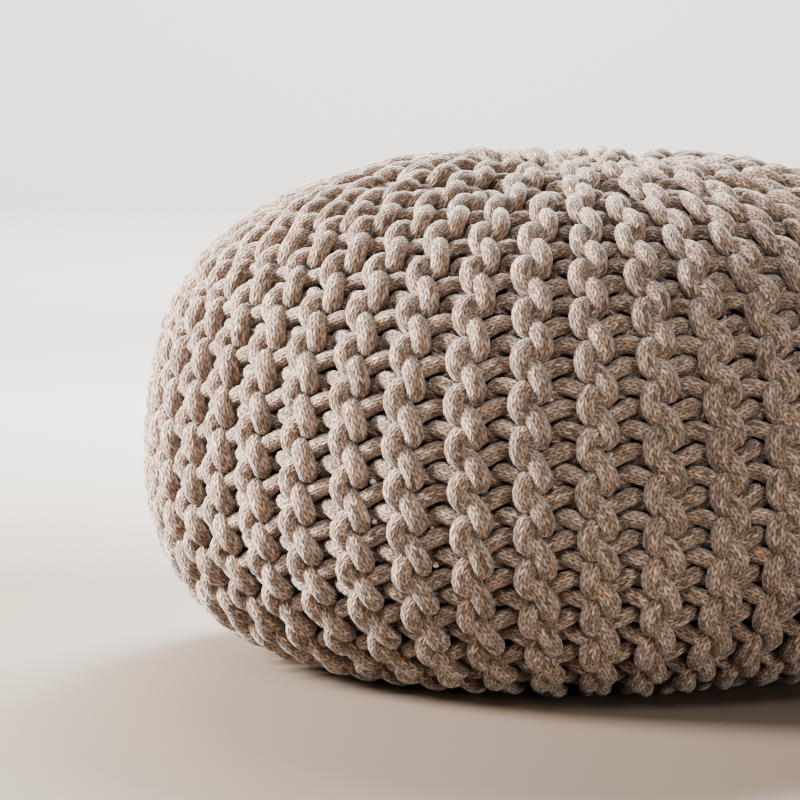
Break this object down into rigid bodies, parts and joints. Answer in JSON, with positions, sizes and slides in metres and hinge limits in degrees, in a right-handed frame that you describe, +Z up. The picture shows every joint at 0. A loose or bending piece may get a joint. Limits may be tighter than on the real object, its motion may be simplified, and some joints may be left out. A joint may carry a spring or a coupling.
{
  "type": "knitted pouf",
  "caption": "Round, squat floor pouf: a filled cover hand knitted from thick cotton cord, with raised ridges that run from the base over the side to the drawn-in middle of the top.",
  "frame": {"origin": "middle of the flat base, on the floor", "axes": "+Z up, from the middle of the base to the drawn-in middle of the top; +X and +Y along the floor, with the side in the picture facing -Y"},
  "size_m": [0.5392, 0.5408, 0.3163],
  "materials": {
    "cotton_cord": "matte heathered taupe cotton: soft plaited cord about 10 mm thick with paler and darker fibres mixed in, knitted in garter stitch"
  },
  "bodies": {
    "root": {"knitted_pouf": "cotton_cord"}
  },
  "joints": []
}
